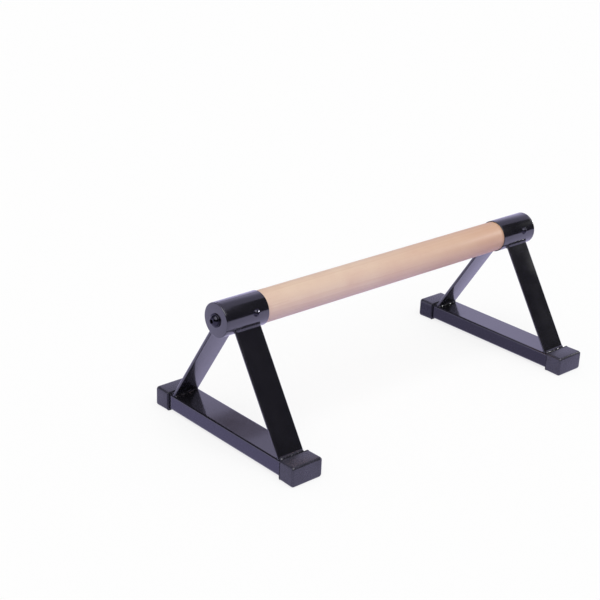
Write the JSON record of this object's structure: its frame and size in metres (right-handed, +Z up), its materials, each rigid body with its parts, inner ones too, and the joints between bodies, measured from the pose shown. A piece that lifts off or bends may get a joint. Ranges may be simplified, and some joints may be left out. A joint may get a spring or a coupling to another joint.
{
  "type": "parallette bar",
  "caption": "Low parallette bar: a round wooden grip held in steel sleeves on welded A-frame ends, each standing on a floor rail with slip-on foot caps.",
  "frame": {"origin": "on the floor, under the middle of the grip", "axes": "+X along the grip, -Y the front, +Z up"},
  "size_m": [0.557, 0.262, 0.1862],
  "materials": {
    "beech": "sanded beech, thin clear oil",
    "black_painted_steel": "gloss black enamel",
    "foot_rubber": "matte moulded",
    "blackened_steel": "black oxide",
    "zinc_steel": "zinc plated"
  },
  "bodies": {
    "root": {"grip_bar": "beech", "left_sleeve": "black_painted_steel", "left_end_plate": "black_painted_steel", "left_base_rail": "black_painted_steel", "left_sleeve_welds": "black_painted_steel", "left_foot_welds": "black_painted_steel", "left_front_leg": "black_painted_steel", "left_front_foot_cap": "foot_rubber", "left_rear_leg": "black_painted_steel", "left_rear_foot_cap": "foot_rubber", "right_sleeve": "black_painted_steel", "right_end_plate": "black_painted_steel", "right_base_rail": "black_painted_steel", "right_sleeve_welds": "black_painted_steel", "right_foot_welds": "black_painted_steel", "right_front_leg": "black_painted_steel", "right_front_foot_cap": "foot_rubber", "right_rear_leg": "black_painted_steel", "right_rear_foot_cap": "foot_rubber", "end_bolts": "blackened_steel", "end_washers": "blackened_steel", "sleeve_screws": "blackened_steel", "insert_nuts": "zinc_steel"}
  },
  "joints": []
}
